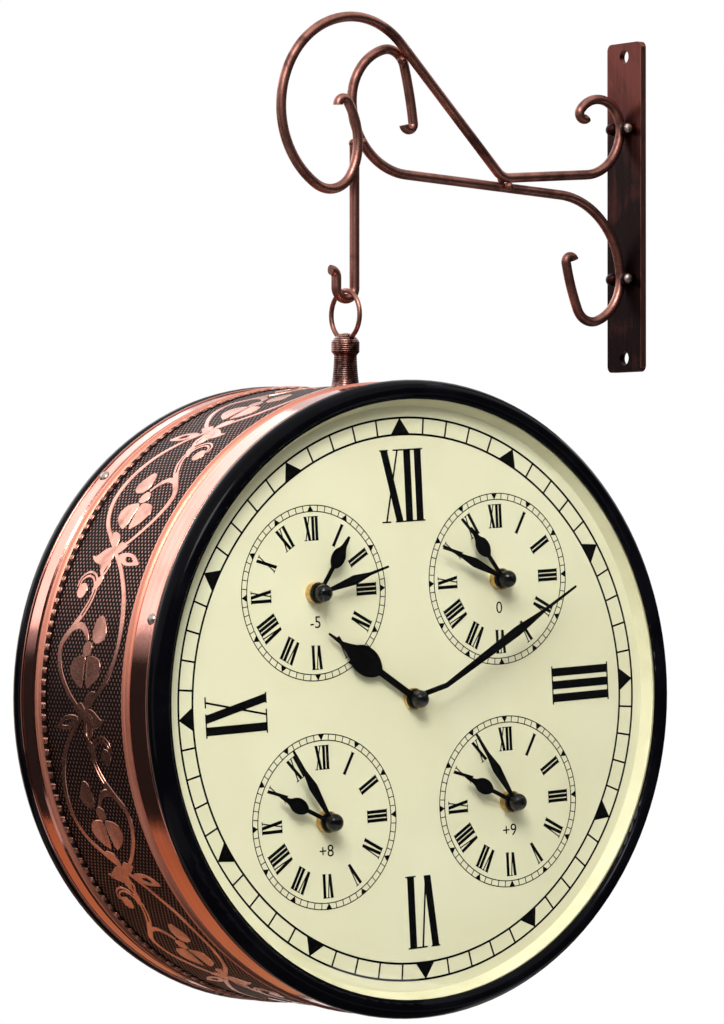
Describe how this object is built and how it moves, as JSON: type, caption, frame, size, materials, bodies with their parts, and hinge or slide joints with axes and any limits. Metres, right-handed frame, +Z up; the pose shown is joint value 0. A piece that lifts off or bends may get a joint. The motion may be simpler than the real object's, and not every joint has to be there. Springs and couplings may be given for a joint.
{
  "type": "double-sided wall clock",
  "caption": "Round drum clock with a dial on both faces, small dials for further time zones, hung by a ring from a scrolled wall bracket.",
  "frame": {"origin": "middle of the wall plate's back face", "axes": "+X into the wall, +Z up, -Y towards the viewer of the front dial"},
  "size_m": [0.3033, 0.1464, 0.4464],
  "materials": {
    "bracket_copper": "antique copper, worn bright on the high spots",
    "case_copper": "antique copper with dark patina",
    "bezel_black": "gloss",
    "clear_glass": "clear",
    "dial_cream": "cream enamel with black print",
    "spacer_cream": "satin",
    "screw_steel": "dulled",
    "movement_black": "matt",
    "cell_metal": "plain sleeve",
    "board_green": "lacquered",
    "gasket_rubber": "matt",
    "nut_brass": "turned",
    "hand_black": "gloss black"
  },
  "bodies": {
    "bracket": {"wall_plate": "bracket_copper", "upper_scroll": "bracket_copper", "lower_scroll": "bracket_copper", "hook_rod": "bracket_copper", "weld_beads": "bracket_copper"},
    "ring": {"hanging_ring": "bracket_copper"},
    "case": {"drum_shell": "case_copper", "embossed_band": "case_copper", "bead_trim": "case_copper", "front_rim": "case_copper", "rear_rim": "case_copper", "front_bezel": "bezel_black", "rear_bezel": "bezel_black", "front_glass": "clear_glass", "rear_glass": "clear_glass", "front_spacer_ring": "spacer_cream", "rear_spacer_ring": "spacer_cream", "front_dial": "dial_cream", "rear_dial": "dial_cream", "rim_screws": "screw_steel", "finial": "case_copper", "finial_washer": "screw_steel", "finial_nut": "screw_steel", "movement_cases": "movement_black", "movement_covers": "movement_black", "cells": "cell_metal", "circuit_boards": "board_green", "gaskets": "gasket_rubber", "bush_nuts": "nut_brass"},
    "front_main_minute": {"front_main_minute_hand": "hand_black", "front_main_minute_arbor": "hand_black"},
    "front_main_hour": {"front_main_hour_hand": "hand_black"},
    "front_upper_left_minute": {"front_upper_left_minute_hand": "hand_black", "front_upper_left_minute_arbor": "hand_black"},
    "front_upper_left_hour": {"front_upper_left_hour_hand": "hand_black"},
    "front_upper_right_minute": {"front_upper_right_minute_hand": "hand_black", "front_upper_right_minute_arbor": "hand_black"},
    "front_upper_right_hour": {"front_upper_right_hour_hand": "hand_black"},
    "front_lower_left_minute": {"front_lower_left_minute_hand": "hand_black", "front_lower_left_minute_arbor": "hand_black"},
    "front_lower_left_hour": {"front_lower_left_hour_hand": "hand_black"},
    "front_lower_right_minute": {"front_lower_right_minute_hand": "hand_black", "front_lower_right_minute_arbor": "hand_black"},
    "front_lower_right_hour": {"front_lower_right_hour_hand": "hand_black"},
    "rear_main_minute": {"rear_main_minute_hand": "hand_black", "rear_main_minute_arbor": "hand_black"},
    "rear_main_hour": {"rear_main_hour_hand": "hand_black"},
    "rear_upper_left_minute": {"rear_upper_left_minute_hand": "hand_black", "rear_upper_left_minute_arbor": "hand_black"},
    "rear_upper_left_hour": {"rear_upper_left_hour_hand": "hand_black"},
    "rear_upper_right_minute": {"rear_upper_right_minute_hand": "hand_black", "rear_upper_right_minute_arbor": "hand_black"},
    "rear_upper_right_hour": {"rear_upper_right_hour_hand": "hand_black"},
    "rear_lower_left_minute": {"rear_lower_left_minute_hand": "hand_black", "rear_lower_left_minute_arbor": "hand_black"},
    "rear_lower_left_hour": {"rear_lower_left_hour_hand": "hand_black"},
    "rear_lower_right_minute": {"rear_lower_right_minute_hand": "hand_black", "rear_lower_right_minute_arbor": "hand_black"},
    "rear_lower_right_hour": {"rear_lower_right_hour_hand": "hand_black"}
  },
  "joints": [
    {"name": "ring_swing", "type": "hinge", "parent": "bracket", "child": "ring", "pos_m": [-0.1632, 0, -0.0476], "axis": [1, 0, 0], "range_deg": [-20, 20]},
    {"name": "case_swing", "type": "hinge", "parent": "ring", "child": "case", "pos_m": [-0.1632, 0, -0.06575], "axis": [0, 1, 0], "range_deg": [-7, 12]},
    {"name": "front_main_minute_turn", "type": "hinge", "parent": "case", "child": "front_main_minute", "pos_m": [-0.1632, -0.05, -0.22555], "axis": [0, 1, 0], "continuous": true},
    {"name": "front_main_hour_turn", "type": "hinge", "parent": "case", "child": "front_main_hour", "pos_m": [-0.1632, -0.05, -0.22555], "axis": [0, 1, 0], "continuous": true},
    {"name": "front_upper_left_minute_turn", "type": "hinge", "parent": "case", "child": "front_upper_left_minute", "pos_m": [-0.21601, -0.05, -0.17896], "axis": [0, 1, 0], "continuous": true},
    {"name": "front_upper_left_hour_turn", "type": "hinge", "parent": "case", "child": "front_upper_left_hour", "pos_m": [-0.21601, -0.05, -0.17896], "axis": [0, 1, 0], "continuous": true},
    {"name": "front_upper_right_minute_turn", "type": "hinge", "parent": "case", "child": "front_upper_right_minute", "pos_m": [-0.11618, -0.05, -0.17311], "axis": [0, 1, 0], "continuous": true},
    {"name": "front_upper_right_hour_turn", "type": "hinge", "parent": "case", "child": "front_upper_right_hour", "pos_m": [-0.11618, -0.05, -0.17311], "axis": [0, 1, 0], "continuous": true},
    {"name": "front_lower_left_minute_turn", "type": "hinge", "parent": "case", "child": "front_lower_left_minute", "pos_m": [-0.21022, -0.05, -0.27799], "axis": [0, 1, 0], "continuous": true},
    {"name": "front_lower_left_hour_turn", "type": "hinge", "parent": "case", "child": "front_lower_left_hour", "pos_m": [-0.21022, -0.05, -0.27799], "axis": [0, 1, 0], "continuous": true},
    {"name": "front_lower_right_minute_turn", "type": "hinge", "parent": "case", "child": "front_lower_right_minute", "pos_m": [-0.11039, -0.05, -0.27214], "axis": [0, 1, 0], "continuous": true},
    {"name": "front_lower_right_hour_turn", "type": "hinge", "parent": "case", "child": "front_lower_right_hour", "pos_m": [-0.11039, -0.05, -0.27214], "axis": [0, 1, 0], "continuous": true},
    {"name": "rear_main_minute_turn", "type": "hinge", "parent": "case", "child": "rear_main_minute", "pos_m": [-0.1632, 0.05, -0.22555], "axis": [0, -1, 0], "continuous": true},
    {"name": "rear_main_hour_turn", "type": "hinge", "parent": "case", "child": "rear_main_hour", "pos_m": [-0.1632, 0.05, -0.22555], "axis": [0, -1, 0], "continuous": true},
    {"name": "rear_upper_left_minute_turn", "type": "hinge", "parent": "case", "child": "rear_upper_left_minute", "pos_m": [-0.11039, 0.05, -0.17896], "axis": [0, -1, 0], "continuous": true},
    {"name": "rear_upper_left_hour_turn", "type": "hinge", "parent": "case", "child": "rear_upper_left_hour", "pos_m": [-0.11039, 0.05, -0.17896], "axis": [0, -1, 0], "continuous": true},
    {"name": "rear_upper_right_minute_turn", "type": "hinge", "parent": "case", "child": "rear_upper_right_minute", "pos_m": [-0.21022, 0.05, -0.17311], "axis": [0, -1, 0], "continuous": true},
    {"name": "rear_upper_right_hour_turn", "type": "hinge", "parent": "case", "child": "rear_upper_right_hour", "pos_m": [-0.21022, 0.05, -0.17311], "axis": [0, -1, 0], "continuous": true},
    {"name": "rear_lower_left_minute_turn", "type": "hinge", "parent": "case", "child": "rear_lower_left_minute", "pos_m": [-0.11618, 0.05, -0.27799], "axis": [0, -1, 0], "continuous": true},
    {"name": "rear_lower_left_hour_turn", "type": "hinge", "parent": "case", "child": "rear_lower_left_hour", "pos_m": [-0.11618, 0.05, -0.27799], "axis": [0, -1, 0], "continuous": true},
    {"name": "rear_lower_right_minute_turn", "type": "hinge", "parent": "case", "child": "rear_lower_right_minute", "pos_m": [-0.21601, 0.05, -0.27214], "axis": [0, -1, 0], "continuous": true},
    {"name": "rear_lower_right_hour_turn", "type": "hinge", "parent": "case", "child": "rear_lower_right_hour", "pos_m": [-0.21601, 0.05, -0.27214], "axis": [0, -1, 0], "continuous": true}
  ],
  "couplings": [
    {"joint": "front_main_hour_turn", "follows": "front_main_minute_turn", "ratio": 0.083333},
    {"joint": "front_upper_left_hour_turn", "follows": "front_upper_left_minute_turn", "ratio": 0.083333},
    {"joint": "front_upper_right_hour_turn", "follows": "front_upper_right_minute_turn", "ratio": 0.083333},
    {"joint": "front_lower_left_hour_turn", "follows": "front_lower_left_minute_turn", "ratio": 0.083333},
    {"joint": "front_lower_right_hour_turn", "follows": "front_lower_right_minute_turn", "ratio": 0.083333},
    {"joint": "rear_main_hour_turn", "follows": "rear_main_minute_turn", "ratio": 0.083333},
    {"joint": "rear_upper_left_hour_turn", "follows": "rear_upper_left_minute_turn", "ratio": 0.083333},
    {"joint": "rear_upper_right_hour_turn", "follows": "rear_upper_right_minute_turn", "ratio": 0.083333},
    {"joint": "rear_lower_left_hour_turn", "follows": "rear_lower_left_minute_turn", "ratio": 0.083333},
    {"joint": "rear_lower_right_hour_turn", "follows": "rear_lower_right_minute_turn", "ratio": 0.083333}
  ]
}
